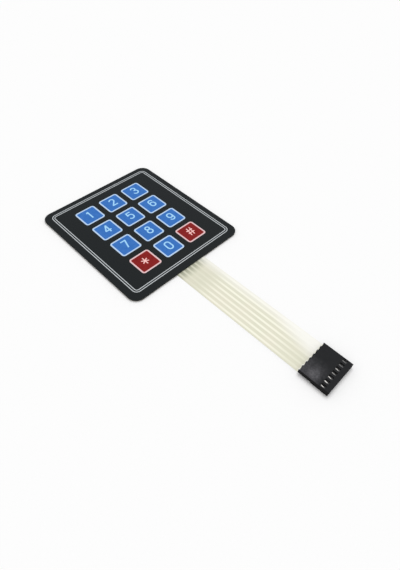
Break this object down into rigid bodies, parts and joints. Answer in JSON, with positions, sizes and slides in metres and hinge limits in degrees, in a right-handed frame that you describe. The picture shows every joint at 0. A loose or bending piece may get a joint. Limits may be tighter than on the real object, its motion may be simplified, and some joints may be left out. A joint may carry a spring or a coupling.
{
  "type": "membrane keypad",
  "caption": "Thin black membrane keypad with blue and red printed number keys in white frames, a flat cream film tail and a black crimp socket for a pin header.",
  "frame": {"origin": "middle of the pad's back face, on the surface that it is stuck to or lies on", "axes": "+X along a row of keys from 1 to 3, +Y up the keypad away from the tail, +Z out of the keys"},
  "size_m": [0.069, 0.1606, 0.0025],
  "materials": {
    "overlay_film": "black printed polyester film, fine matt texture",
    "white_ink": "screen-printed ink, cool white",
    "blue_ink": "screen-printed ink, mid blue",
    "red_ink": "screen-printed ink, dark red",
    "adhesive": "black-tinted acrylic adhesive film",
    "spacer_film": "dark polyester spacer film",
    "dome_steel": "thin stainless spring steel",
    "polyester": "translucent cream polyester film",
    "silver_ink": "printed silver ink",
    "cover_film": "cream insulating film",
    "liner_paper": "coated release paper",
    "housing_plastic": "black moulded plastic, satin",
    "contact_metal": "tin-plated spring bronze"
  },
  "bodies": {
    "root": {"graphic_overlay": "overlay_film", "white_print": "white_ink", "blue_print": "blue_ink", "red_print": "red_ink", "overlay_adhesive": "adhesive", "spacer": "spacer_film", "dome_1": "dome_steel", "dome_2": "dome_steel", "dome_3": "dome_steel", "dome_4": "dome_steel", "dome_5": "dome_steel", "dome_6": "dome_steel", "dome_7": "dome_steel", "dome_8": "dome_steel", "dome_9": "dome_steel", "dome_star": "dome_steel", "dome_0": "dome_steel", "dome_hash": "dome_steel", "circuit_film": "polyester", "row_track_1": "silver_ink", "row_track_2": "silver_ink", "row_track_3": "silver_ink", "row_track_4": "silver_ink", "column_track_1": "silver_ink", "column_track_2": "silver_ink", "column_track_3": "silver_ink", "tail_cover": "cover_film", "rear_adhesive": "adhesive", "release_liner": "liner_paper", "connector_housing": "housing_plastic", "contact_1": "contact_metal", "contact_2": "contact_metal", "contact_3": "contact_metal", "contact_4": "contact_metal", "contact_5": "contact_metal", "contact_6": "contact_metal", "contact_7": "contact_metal"}
  },
  "joints": []
}
